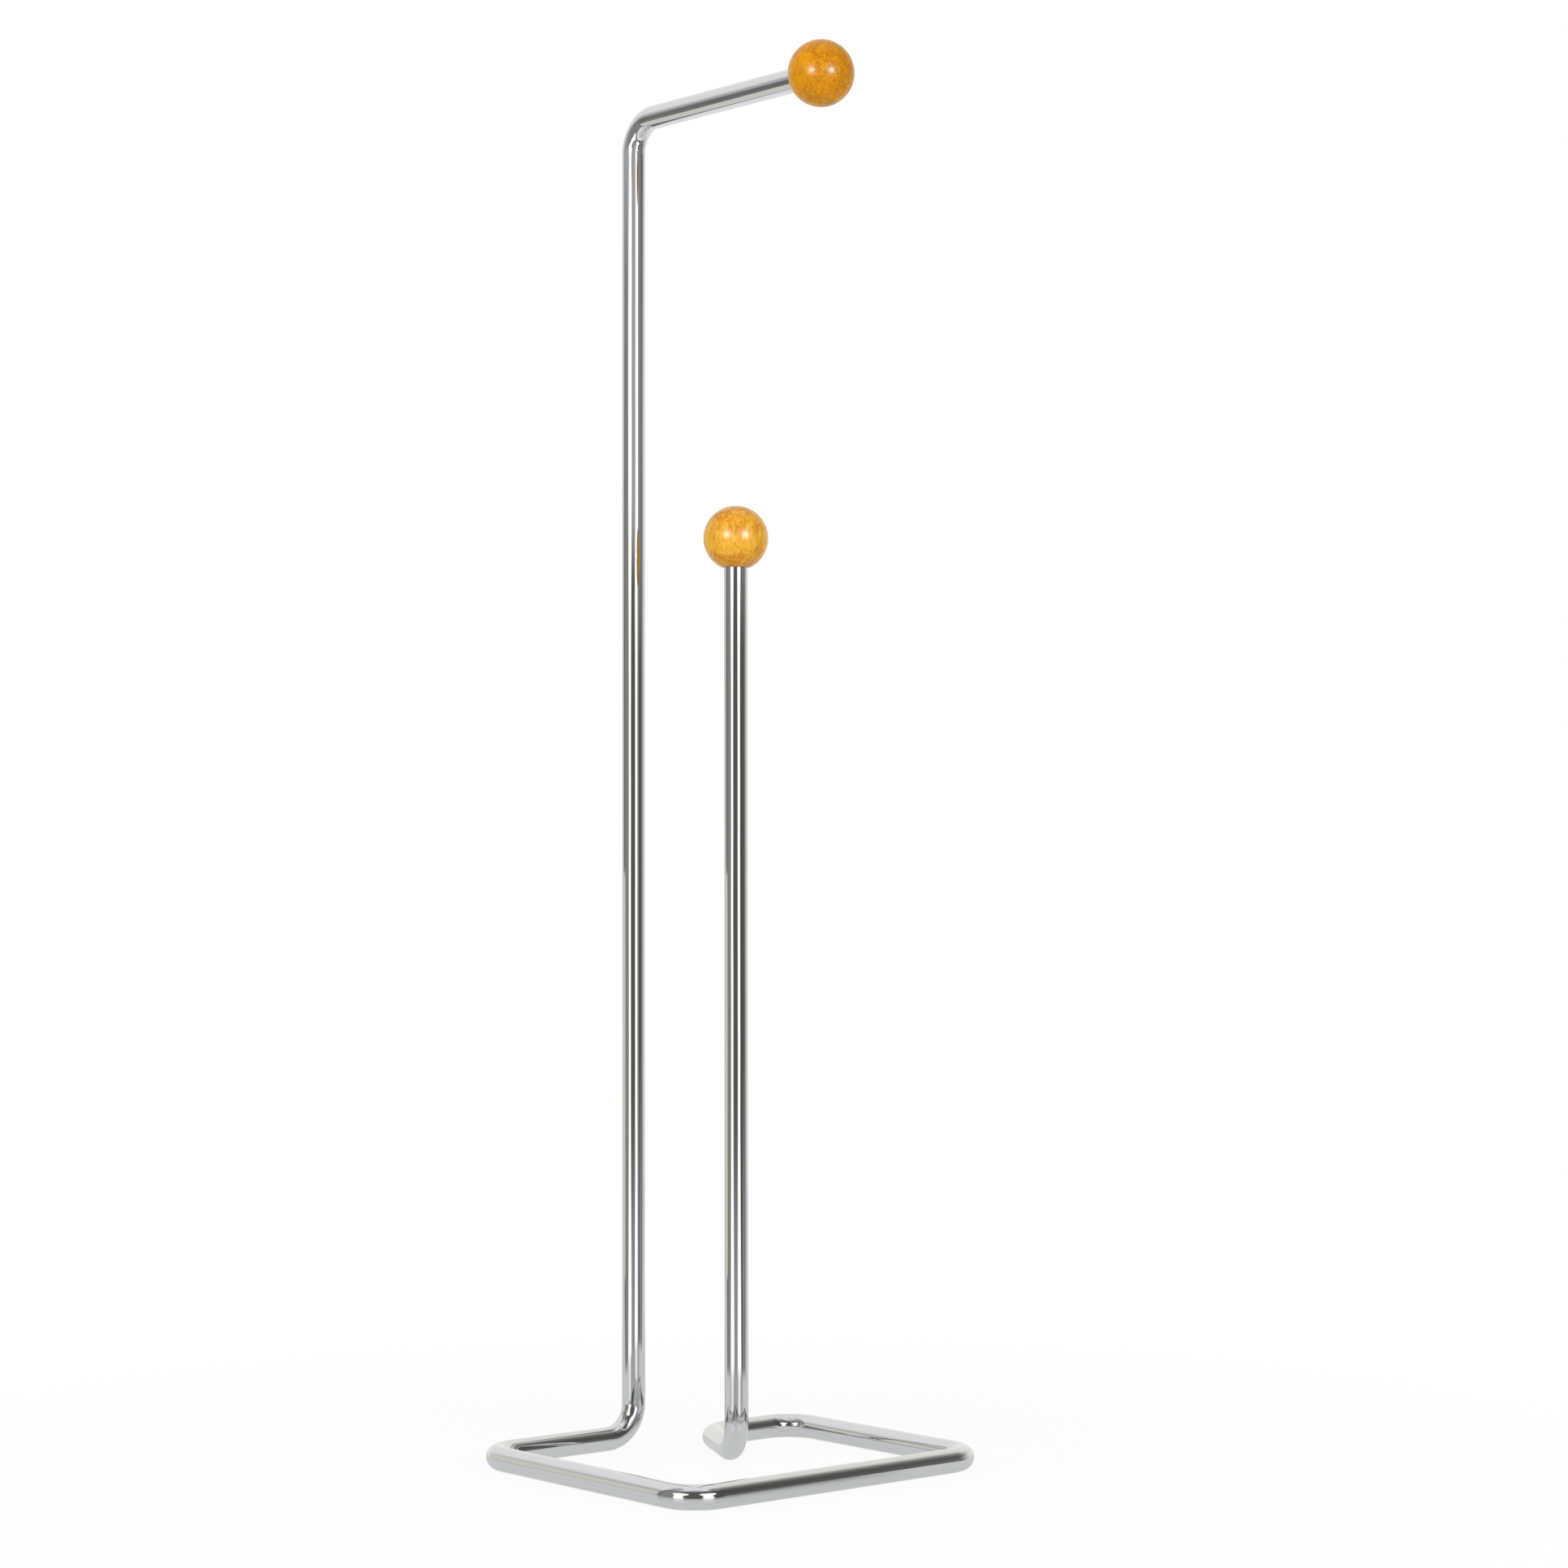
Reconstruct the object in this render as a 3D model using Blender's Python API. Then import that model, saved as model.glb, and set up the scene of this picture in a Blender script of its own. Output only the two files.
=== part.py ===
"""Spare toilet roll rack: a free-standing frame bent from one chromed rod, with a wooden ball on each end.

One roll hangs on the level arm at the top, and three spare rolls stack on the shorter post inside the base.
Lengths are in metres and +Z is up. The origin is on the floor, at the middle of the base's outline.
+X is the way the roll arm points, and the tall post stands on the base's -X side.
"""

import math

import bmesh
import bpy
from mathutils import Matrix, Vector

# Rod
ROD_DIAMETER = 0.0100
BEND_RADIUS = 0.0142  # to the rod's centreline, the same former for every bend
ROD_END_CHAMFER = 0.0008

# Base, between the centrelines of opposite sides
BASE_WIDTH = 0.1357  # along X
BASE_DEPTH = 0.1512  # along Y

# Tall post and roll arm
TALL_POST_OFFSET = 0.0025  # from the middle of the base's side towards the back
ARM_HEIGHT = 0.5694  # from the floor to the arm's centreline
ARM_REACH = 0.1235  # from the tall post's centreline to the arm ball's centre

# Return run, diagonal leg and spare post
RETURN_GAP = 0.0088  # clear space in X between the tall post and the return run
ELBOW_OFFSET = 0.0271  # in Y, from the tall post back to where the return run turns off
SPARE_POST_SPACING = 0.0634  # in X, between the two posts' centrelines
SPARE_POST_OFFSET = 0.0047  # in Y, from the tall post back to the spare post
SPARE_BALL_HEIGHT = 0.3853  # from the floor to the spare ball's centre

# Balls
BALL_DIAMETER = 0.0272
SEAT_RIM = 0.0004  # flat wood left round the bore's mouth
BORE_MOUTH_CHAMFER = 0.0003
BALL_END_WALL = 0.0109  # wood between the bore's bottom and the far side of the ball
FIT_GAP = 0.0003  # glue line between the rod and the ball's bore

# Facets
ROD_SIDES = 24  # a multiple of four, so that a flat faces the floor all round the base
BEND_STEP = math.radians(9)
BALL_SIDES = 48
BALL_STEPS = 20
MERGE_DISTANCE = 0.000001
SMOOTH_BELOW = math.radians(35)

# Colours as linear values, and how polished each surface is
CHROME = (0.80, 0.81, 0.83, 1.0)
CHROME_ROUGHNESS = 0.05
AMBER_WOOD = (0.72, 0.33, 0.03, 1.0)
HONEY_WOOD = (0.82, 0.42, 0.06, 1.0)
WOOD_ROUGHNESS = 0.3

UP = Vector((0, 0, 1))
ALONG_ARM = Vector((1, 0, 0))

rod_radius = ROD_DIAMETER / 2
ball_radius = BALL_DIAMETER / 2

# The flats lie at the rod's radius and at the bore's, so the corners lie further out.
rod_corner_radius = rod_radius / math.cos(math.pi / ROD_SIDES)
bore_radius = (rod_radius + FIT_GAP) / math.cos(math.pi / BALL_SIDES)

# Places along a ball's own axis, measured from its centre towards the far side.
seat_radius = bore_radius + BORE_MOUTH_CHAMFER + SEAT_RIM
seat_place = -math.sqrt(ball_radius**2 - seat_radius**2)
bore_bottom = ball_radius - BALL_END_WALL
rod_end_place = bore_bottom - FIT_GAP


def clear_scene():
    """Take away whatever the scene holds."""
    for item in list(bpy.data.objects):
        bpy.data.objects.remove(item, do_unlink=True)


def make_material(name, colour, metallic, roughness):
    """A plain surface of one colour."""
    material = bpy.data.materials.new(name)
    material.use_nodes = True
    shader = material.node_tree.nodes["Principled BSDF"]
    shader.inputs["Base Color"].default_value = colour
    shader.inputs["Metallic"].default_value = metallic
    shader.inputs["Roughness"].default_value = roughness
    return material


def make_piece(name, mesh_builder, material, parent):
    """Turn a finished bmesh into a named piece that hangs on the rack."""
    bmesh.ops.recalc_face_normals(mesh_builder, faces=mesh_builder.faces)
    mesh = bpy.data.meshes.new(name)
    mesh_builder.to_mesh(mesh)
    mesh_builder.free()
    mesh.shade_smooth()
    mesh.set_sharp_from_angle(angle=SMOOTH_BELOW)
    mesh.materials.append(material)
    piece = bpy.data.objects.new(name, mesh)
    piece.parent = parent
    bpy.context.collection.objects.link(piece)
    return piece


def ball_centres():
    """The centres of the arm ball and the spare ball."""
    tall_post = Vector((-BASE_WIDTH / 2, TALL_POST_OFFSET, 0))
    arm_ball = tall_post + Vector((ARM_REACH, 0, ARM_HEIGHT))
    spare_ball = tall_post + Vector((SPARE_POST_SPACING, SPARE_POST_OFFSET, SPARE_BALL_HEIGHT))
    return arm_ball, spare_ball


def rod_corners():
    """Where the straight runs of the rod's centreline meet, from the arm's end to the spare post's end."""
    arm_ball, spare_ball = ball_centres()
    side_x = BASE_WIDTH / 2
    side_y = BASE_DEPTH / 2
    return_x = ROD_DIAMETER + RETURN_GAP - side_x
    floor_z = rod_radius
    tall_top = Vector((-side_x, TALL_POST_OFFSET, ARM_HEIGHT))
    return [
        arm_ball + ALONG_ARM * rod_end_place,
        tall_top,
        Vector((tall_top.x, tall_top.y, floor_z)),
        Vector((-side_x, -side_y, floor_z)),
        Vector((side_x, -side_y, floor_z)),
        Vector((side_x, side_y, floor_z)),
        Vector((return_x, side_y, floor_z)),
        Vector((return_x, TALL_POST_OFFSET + ELBOW_OFFSET, floor_z)),
        Vector((spare_ball.x, spare_ball.y, floor_z)),
        spare_ball + UP * rod_end_place,
    ]


def ring_of(items):
    """The vertices among these items, with the edges that run only between them."""
    verts = {item for item in items if isinstance(item, bmesh.types.BMVert)}
    edges = {edge for vert in verts for edge in vert.link_edges if verts.issuperset(edge.verts)}
    return list(verts), list(edges)


def start_ring(rod, place, heading):
    """A ring of the rod's section, square to its heading, with a flat underneath."""
    half_facet = Matrix.Rotation(math.pi / ROD_SIDES, 4, "Z")
    turned = heading.to_track_quat("Z", "Y").to_matrix().to_4x4()
    made = bmesh.ops.create_circle(
        rod,
        segments=ROD_SIDES,
        radius=rod_corner_radius,
        matrix=Matrix.Translation(place) @ turned @ half_facet,
    )
    return ring_of(made["verts"])


def feed(rod, ring, path):
    """Push the rod on in a straight run."""
    made = bmesh.ops.extrude_edge_only(rod, edges=ring[1])
    ring = ring_of(made["geom"])
    bmesh.ops.translate(rod, verts=ring[0], vec=path)
    return ring


def bend(rod, ring, heading, leaving, tangent_point):
    """Wrap the rod round the former until its heading has become the new one."""
    pin = heading.cross(leaving).normalized()
    turn = heading.angle(leaving)
    made = bmesh.ops.spin(
        rod,
        geom=ring[0] + ring[1],
        cent=tangent_point + pin.cross(heading) * BEND_RADIUS,
        axis=pin,
        angle=turn,
        steps=math.ceil(turn / BEND_STEP),
        use_duplicate=False,
    )
    return ring_of(made["geom_last"])


def close_end(rod, ring, place, outward):
    """Chamfer a cut end of the rod and close it."""
    ring = feed(rod, ring, outward * ROD_END_CHAMFER)
    share = (rod_radius - ROD_END_CHAMFER) / rod_radius
    centre = place + outward * ROD_END_CHAMFER
    bmesh.ops.scale(rod, verts=ring[0], vec=Vector((share, share, share)), space=Matrix.Translation(-centre))
    bmesh.ops.edgeloop_fill(rod, edges=ring[1])


def build_rod():
    """Feed and bend the rod from the arm's end, round the base, to the spare post's end."""
    corners = rod_corners()
    rod = bmesh.new()
    heading = (corners[1] - corners[0]).normalized()
    place = corners[0] + heading * ROD_END_CHAMFER
    first_ring = start_ring(rod, place, heading)
    close_end(rod, first_ring, place, -heading)
    ring = first_ring
    for corner, after in zip(corners[1:], corners[2:]):
        leaving = (after - corner).normalized()
        setback = BEND_RADIUS * math.tan(heading.angle(leaving) / 2)
        tangent_point = corner - heading * setback
        ring = feed(rod, ring, tangent_point - place)
        ring = bend(rod, ring, heading, leaving, tangent_point)
        place = corner + leaving * setback
        heading = leaving
    last = corners[-1] - heading * ROD_END_CHAMFER
    ring = feed(rod, ring, last - place)
    close_end(rod, ring, last, heading)
    return rod


def ball_profile():
    """Half the ball's section as (distance from axis, place along axis), from far pole to bore bottom."""
    seat_angle = math.asin(seat_radius / ball_radius)
    sweep = math.pi - seat_angle
    arc = [sweep * step / BALL_STEPS for step in range(BALL_STEPS + 1)]
    outside = [(ball_radius * math.sin(angle), ball_radius * math.cos(angle)) for angle in arc]
    bore = [
        (bore_radius + BORE_MOUTH_CHAMFER, seat_place),
        (bore_radius, seat_place + BORE_MOUTH_CHAMFER),
        (bore_radius, bore_bottom),
        (0, bore_bottom),
    ]
    return outside + bore


def build_ball():
    """Turn the ball's section round its axis. The bore's mouth faces -Z."""
    ball = bmesh.new()
    verts = [ball.verts.new((distance, 0, place)) for distance, place in ball_profile()]
    edges = [ball.edges.new(pair) for pair in zip(verts, verts[1:])]
    bmesh.ops.spin(
        ball,
        geom=verts + edges,
        axis=UP,
        angle=math.tau,
        steps=BALL_SIDES,
        use_duplicate=False,
    )
    bmesh.ops.remove_doubles(ball, verts=ball.verts, dist=MERGE_DISTANCE)
    return ball


def main():
    clear_scene()
    rack = bpy.data.objects.new("rack", None)
    bpy.context.collection.objects.link(rack)

    chrome = make_material("chromed_steel", CHROME, 1.0, CHROME_ROUGHNESS)
    make_piece("frame_rod", build_rod(), chrome, rack)

    arm_place, spare_place = ball_centres()
    amber = make_material("amber_lacquered_wood", AMBER_WOOD, 0.0, WOOD_ROUGHNESS)
    arm_ball = make_piece("arm_ball", build_ball(), amber, rack)
    arm_ball.location = arm_place
    arm_ball.rotation_euler = (0, math.pi / 2, 0)

    honey = make_material("honey_lacquered_wood", HONEY_WOOD, 0.0, WOOD_ROUGHNESS)
    spare_ball = make_piece("spare_ball", build_ball(), honey, rack)
    spare_ball.location = spare_place


main()
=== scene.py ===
"""Spare toilet roll rack: one bent bar in bright chrome, with a turned, lacquered wooden ball on each end."""

import math

import bmesh
import bpy
from mathutils import Euler, Matrix, Vector


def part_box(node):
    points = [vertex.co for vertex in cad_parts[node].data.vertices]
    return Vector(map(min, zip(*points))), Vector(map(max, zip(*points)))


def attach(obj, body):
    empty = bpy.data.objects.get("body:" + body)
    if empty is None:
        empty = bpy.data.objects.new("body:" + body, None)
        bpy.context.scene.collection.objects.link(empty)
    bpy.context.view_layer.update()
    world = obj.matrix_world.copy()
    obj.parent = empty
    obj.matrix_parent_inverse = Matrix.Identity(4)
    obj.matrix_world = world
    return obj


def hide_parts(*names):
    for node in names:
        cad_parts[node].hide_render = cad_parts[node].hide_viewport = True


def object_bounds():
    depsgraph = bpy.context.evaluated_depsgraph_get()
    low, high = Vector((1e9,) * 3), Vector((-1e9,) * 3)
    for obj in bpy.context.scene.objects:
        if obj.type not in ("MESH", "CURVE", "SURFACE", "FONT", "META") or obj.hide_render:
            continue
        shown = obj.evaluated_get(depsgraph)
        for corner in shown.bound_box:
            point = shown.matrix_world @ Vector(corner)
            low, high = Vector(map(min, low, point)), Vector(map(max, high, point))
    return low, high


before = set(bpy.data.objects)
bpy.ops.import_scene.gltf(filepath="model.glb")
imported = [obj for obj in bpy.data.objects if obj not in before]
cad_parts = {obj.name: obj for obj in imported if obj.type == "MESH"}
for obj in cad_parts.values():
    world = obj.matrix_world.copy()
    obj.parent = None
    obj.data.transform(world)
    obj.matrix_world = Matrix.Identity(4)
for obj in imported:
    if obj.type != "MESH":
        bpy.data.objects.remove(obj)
cad_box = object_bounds()

# Lengths are in metres, angles in degrees and colours in sRGB hex. +X is the way the roll arm points.
MM = 0.001

# Bar, as in the part's source
BAR_RADIUS = 5 * MM
BEND_RADIUS = 14.2 * MM
BAR_END_CHAMFER = 0.8 * MM
RETURN_GAP = 8.8 * MM
ELBOW_OFFSET = 27.1 * MM

# Balls, as in the part's source
BALL_RADIUS = 13.6 * MM
BORE_RADIUS = 5.3 * MM
BORE_MOUTH_CHAMFER = 0.3 * MM
SEAT_RIM = 0.4 * MM
BALL_END_WALL = 10.9 * MM
GLUE_GAP = 0.3 * MM

# Facets
BAR_SIDES = 72
BEND_STEPS = 40
RING_SPACING = 8 * MM
BALL_SIDES = 144
BALL_STEPS = 72
MERGE_DISTANCE = 0.001 * MM
CREASE_ANGLE = 30

# Camera, from a fit to the rack's outline
CAMERA_PLACE = Vector((1.12342, -0.92549, 0.24716))
CAMERA_HEADING = 139.628
CAMERA_UPWARD_TILT = 1.390
CAMERA_ROLL = 0.063
CAMERA_LENS = 80.62
CAMERA_SENSOR = 36

# Directions on the floor, as seen from the rack
TO_CAMERA = Vector((CAMERA_PLACE.x, CAMERA_PLACE.y, 0)).normalized()
TO_RIGHT = Vector((-TO_CAMERA.y, TO_CAMERA.x, 0))

UP = Vector((0, 0, 1))
WHITE = (1, 1, 1, 1)

# Settings that many nodes share
SMOOTH_STEP = {"interpolation_type": "SMOOTHSTEP"}
COLOUR_MIX = {"data_type": "RGBA"}
DOT_PRODUCT = {"operation": "DOT_PRODUCT"}
ADD = {"operation": "ADD"}
SUBTRACT = {"operation": "SUBTRACT"}
MULTIPLY = {"operation": "MULTIPLY"}
DIVIDE = {"operation": "DIVIDE"}
ABSOLUTE = {"operation": "ABSOLUTE"}
MAXIMUM = {"operation": "MAXIMUM"}


def linear(hex_colour):
    """Turn an sRGB hex colour to linear RGBA."""
    channels = [int(hex_colour[place : place + 2], 16) / 255 for place in (0, 2, 4)]
    return [c / 12.92 if c <= 0.04045 else ((c + 0.055) / 1.055) ** 2.4 for c in channels] + [1.0]


def grey(level):
    """A grey as linear RGBA."""
    return (level, level, level, 1)


def add_node(tree, kind, settings=None, inputs=None):
    """Add a node, with its settings, and with each input set to a value or linked to a socket."""
    node = tree.nodes.new(kind)
    for name, value in (settings or {}).items():
        setattr(node, name, value)
    for name, value in (inputs or {}).items():
        if isinstance(value, bpy.types.NodeSocket):
            tree.links.new(value, node.inputs[name])
        else:
            node.inputs[name].default_value = value
    return node


def new_material(name):
    """An empty material, with its node tree."""
    material = bpy.data.materials.new(name)
    material.use_nodes = True
    material.node_tree.nodes.clear()
    return material, material.node_tree


def add_object(name, data):
    """Put a mesh, camera or lamp into the scene."""
    thing = bpy.data.objects.new(name, data)
    bpy.context.scene.collection.objects.link(thing)
    return thing


# Camera and stage


def place_camera():
    """Stand where the photograph was taken from."""
    heading = math.radians(CAMERA_HEADING)
    tilt = math.radians(CAMERA_UPWARD_TILT)
    roll = math.radians(CAMERA_ROLL)
    forward = Vector((math.cos(heading) * math.cos(tilt), math.sin(heading) * math.cos(tilt), math.sin(tilt)))
    level_right = Vector((math.sin(heading), -math.cos(heading), 0))
    level_down = forward.cross(level_right)
    right = level_right * math.cos(roll) + level_down * math.sin(roll)
    down = level_down * math.cos(roll) - level_right * math.sin(roll)
    turned = Matrix((right, -down, -forward)).transposed().to_4x4()
    data = bpy.data.cameras.new("photo_camera")
    data.lens = CAMERA_LENS
    data.sensor_fit = "HORIZONTAL"
    data.sensor_width = CAMERA_SENSOR
    data.clip_end = 50
    camera = add_object("photo_camera", data)
    camera.matrix_world = Matrix.Translation(CAMERA_PLACE) @ turned
    bpy.context.scene.camera = camera


# Light on the object: an even room, two softboxes in front, one behind, and two small lamps for highlights
ROOM_LIGHT = 0.44
SOFTBOX_DISTANCE = 1.25
SOFTBOX_HEIGHT = 0.74
SOFTBOX_WIDTH = 0.7
SOFTBOX_WATTS = 7.0
BACK_SOFTBOX_WATTS = 3.0
HIGHLIGHT_DISTANCE = 1.1
HIGHLIGHT_HEIGHT = 0.565
HIGHLIGHT_WIDTH = 0.26
HIGHLIGHT_WATTS = 16.0


def build_world():
    """White backdrop and ceiling, and an even light on everything."""
    world = bpy.data.worlds.new("studio")
    bpy.context.scene.world = world
    world.use_nodes = True
    tree = world.node_tree
    tree.nodes.clear()
    rays = add_node(tree, "ShaderNodeLightPath").outputs
    shown = rays["Is Camera Ray"]
    for kind in ("Is Glossy Ray", "Is Transmission Ray"):
        shown = add_node(tree, "ShaderNodeMath", MAXIMUM, {0: shown, 1: rays[kind]}).outputs[0]
    level = add_node(tree, "ShaderNodeMapRange", inputs={"Value": shown, "To Min": ROOM_LIGHT}).outputs[0]
    background = add_node(tree, "ShaderNodeBackground", inputs={"Color": WHITE, "Strength": level})
    add_node(tree, "ShaderNodeOutputWorld", inputs={"Surface": background.outputs[0]})
    # The walls cast no shadow, so a world that is sampled as a lamp would shine through them on to the chrome
    world.cycles.sampling_method = "NONE"


def place_lamp(name, place, target, shape, size, watts):
    """Flat lamp that the camera doesn't see."""
    data = bpy.data.lights.new(name, "AREA")
    data.shape = shape
    data.size = size
    data.energy = watts
    lamp = add_object(name, data)
    facing = (target - place).to_track_quat("-Z", "Y").to_matrix().to_4x4()
    lamp.matrix_world = Matrix.Translation(place) @ facing
    lamp.visible_camera = False
    return lamp


def from_rack(degrees):
    """The level direction at this angle from the camera's side. Positive is towards the picture's right."""
    return TO_CAMERA * math.cos(math.radians(degrees)) + TO_RIGHT * math.sin(math.radians(degrees))


def light_only(source, *pieces):
    """Keep the light of a lamp or panel to these pieces."""
    lit = bpy.data.collections.new(source.name + "_receivers")
    for piece in pieces:
        lit.objects.link(piece)
    source.light_linking.receiver_collection = lit


def place_highlight(name, degrees, *balls):
    """Small lamp that shows only as a highlight on the lacquer."""
    place = from_rack(degrees) * HIGHLIGHT_DISTANCE + UP * HIGHLIGHT_HEIGHT
    lamp = place_lamp(name, place, UP * HIGHLIGHT_HEIGHT, "DISK", HIGHLIGHT_WIDTH, HIGHLIGHT_WATTS)
    lamp.visible_diffuse = False
    light_only(lamp, *balls)


def place_softbox(name, degrees, watts):
    """Broad soft light on the rack. Reflections don't show it."""
    place = from_rack(degrees) * SOFTBOX_DISTANCE + UP * SOFTBOX_HEIGHT
    middle = (cad_box[0] + cad_box[1]) / 2
    softbox = place_lamp(name, place, middle, "SQUARE", SOFTBOX_WIDTH, watts)
    softbox.visible_glossy = False


def show_in_reflections_only(thing):
    """Keep it out of the camera's view and out of the light on the object."""
    thing.visible_camera = False
    thing.visible_diffuse = False
    thing.visible_transmission = False
    thing.visible_shadow = False


def upright_mesh(name, start, end, bottom, top):
    """A flat upright rectangle, from one place to another."""
    mesh = bpy.data.meshes.new(name)
    corners = [start + UP * bottom, end + UP * bottom, end + UP * top, start + UP * top]
    mesh.from_pydata(corners, [], [(0, 1, 2, 3)])
    return mesh


# Round wall about the rack, as polished metal shows it
WALL_RADIUS = 2.7
WALL_TOP = 6.0
WALL_BOTTOM = -2.5
WALL_SIDES = 96
WALL_TINT = (1.0, 0.98, 0.93)

# Its levels are shares of white, by angle from the camera's side. On the right the dim part reaches further
# round above the rack's own height, so the low levels turn into the high ones between two heights
LEFT_LEVELS = {-128: 1.0, -116: 0.58, -106: 0.25, -98: 0.18, -88: 0.30, -50: 0.32, -20: 0.13, 12: 0.12}
LOW_RIGHT_LEVELS = {60: 0.105, 74: 0.125, 81: 0.13, 89: 0.24, 104: 0.51, 124: 0.94, 134: 1.0}
HIGH_RIGHT_LEVELS = {60: 0.10, 82: 0.095, 90: 0.13, 98: 0.19, 110: 0.36, 122: 0.62, 132: 0.88, 142: 1.0}
HIGH_FROM, HIGH_TO = 0.75, 1.2

# It pales to white between two heights: low down on the left, and high up in front and on the right
LEFT_PALE_HEIGHTS = (0.52, 1.95)
RIGHT_PALE_HEIGHTS = (3.4, 6.0)
LEFT_END, FRONT_START = -100, -84

# In front, between the panels, it is lighter below the level of the table
GLOW_LEVEL = 0.48
GLOW_SHARE = 0.7
GLOW_TOP, GLOW_FULL = 0.0, -0.3
GLOW_SIDE_ANGLE, GLOW_MIDDLE_ANGLE = 40, 12


def wall_paint():
    """Dim on the camera's side and white overhead and behind, so that chrome gets both its dark bands and its
    white ones."""
    material, tree = new_material("dim_wall_paint")
    spot = add_node(tree, "ShaderNodeTexCoord").outputs["Object"]
    toward = add_node(tree, "ShaderNodeVectorMath", DOT_PRODUCT, {0: spot, 1: TO_CAMERA}).outputs["Value"]
    right = add_node(tree, "ShaderNodeVectorMath", DOT_PRODUCT, {0: spot, 1: TO_RIGHT}).outputs["Value"]
    height = add_node(tree, "ShaderNodeSeparateXYZ", inputs={0: spot}).outputs["Z"]
    angle = add_node(tree, "ShaderNodeMath", {"operation": "ARCTAN2"}, {0: right, 1: toward}).outputs[0]
    turn_share = add_node(
        tree, "ShaderNodeMapRange", inputs={"Value": angle, "From Min": -math.pi, "From Max": math.pi}
    ).outputs[0]
    bands = []
    for right_levels in (LOW_RIGHT_LEVELS, HIGH_RIGHT_LEVELS):
        band = add_node(tree, "ShaderNodeValToRGB", inputs={0: turn_share})
        stops = band.color_ramp.elements
        stops.remove(stops[1])
        for count, (degrees, level) in enumerate({**LEFT_LEVELS, **right_levels}.items()):
            place = (degrees + 180) / 360
            stop = stops.new(place) if count else stops[0]
            stop.position = place
            stop.color = [level * share for share in WALL_TINT] + [1]
        bands.append(band.outputs["Color"])
    high_share = add_node(
        tree, "ShaderNodeMapRange", SMOOTH_STEP, {"Value": height, "From Min": HIGH_FROM, "From Max": HIGH_TO}
    ).outputs[0]
    dim = add_node(
        tree, "ShaderNodeMix", COLOUR_MIX, {"Factor": high_share, "A": bands[0], "B": bands[1]}
    ).outputs["Result"]
    low_glow = add_node(
        tree,
        "ShaderNodeMapRange",
        SMOOTH_STEP,
        {"Value": height, "From Min": GLOW_TOP, "From Max": GLOW_FULL, "To Max": GLOW_SHARE},
    ).outputs[0]
    ahead = add_node(
        tree,
        "ShaderNodeMapRange",
        SMOOTH_STEP,
        {
            "Value": toward,
            "From Min": WALL_RADIUS * math.cos(math.radians(GLOW_SIDE_ANGLE)),
            "From Max": WALL_RADIUS * math.cos(math.radians(GLOW_MIDDLE_ANGLE)),
        },
    ).outputs[0]
    glow_share = add_node(tree, "ShaderNodeMath", MULTIPLY, {0: low_glow, 1: ahead}).outputs[0]
    glowing = add_node(
        tree, "ShaderNodeMix", COLOUR_MIX, {"Factor": glow_share, "A": dim, "B": grey(GLOW_LEVEL)}
    ).outputs["Result"]
    pale_from, pale_to = [
        add_node(
            tree,
            "ShaderNodeMapRange",
            SMOOTH_STEP,
            {
                "Value": angle,
                "From Min": math.radians(LEFT_END),
                "From Max": math.radians(FRONT_START),
                "To Min": left_height,
                "To Max": right_height,
            },
        ).outputs[0]
        for left_height, right_height in zip(LEFT_PALE_HEIGHTS, RIGHT_PALE_HEIGHTS)
    ]
    pale_share = add_node(
        tree, "ShaderNodeMapRange", inputs={"Value": height, "From Min": pale_from, "From Max": pale_to}
    ).outputs[0]
    painted = add_node(
        tree, "ShaderNodeMix", COLOUR_MIX, {"Factor": pale_share, "A": glowing, "B": WHITE}
    ).outputs["Result"]
    paint = add_node(tree, "ShaderNodeEmission", inputs={"Color": painted, "Strength": 1.0})
    add_node(tree, "ShaderNodeOutputMaterial", inputs={"Surface": paint.outputs[0]})
    material.cycles.emission_sampling = "NONE"
    return material


def build_walls():
    """Round wall about the rack, open at the top. Only reflections show it."""
    walls = bmesh.new()
    made = bmesh.ops.create_circle(walls, segments=WALL_SIDES, radius=WALL_RADIUS)
    bmesh.ops.translate(walls, verts=made["verts"], vec=UP * WALL_BOTTOM)
    raised = bmesh.ops.extrude_edge_only(walls, edges=walls.edges[:])
    tops = [item for item in raised["geom"] if isinstance(item, bmesh.types.BMVert)]
    bmesh.ops.translate(walls, verts=tops, vec=UP * (WALL_TOP - WALL_BOTTOM))
    mesh = bpy.data.meshes.new("walls")
    walls.to_mesh(mesh)
    walls.free()
    mesh.materials.append(wall_paint())
    room = add_object("walls", mesh)
    show_in_reflections_only(room)


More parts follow.
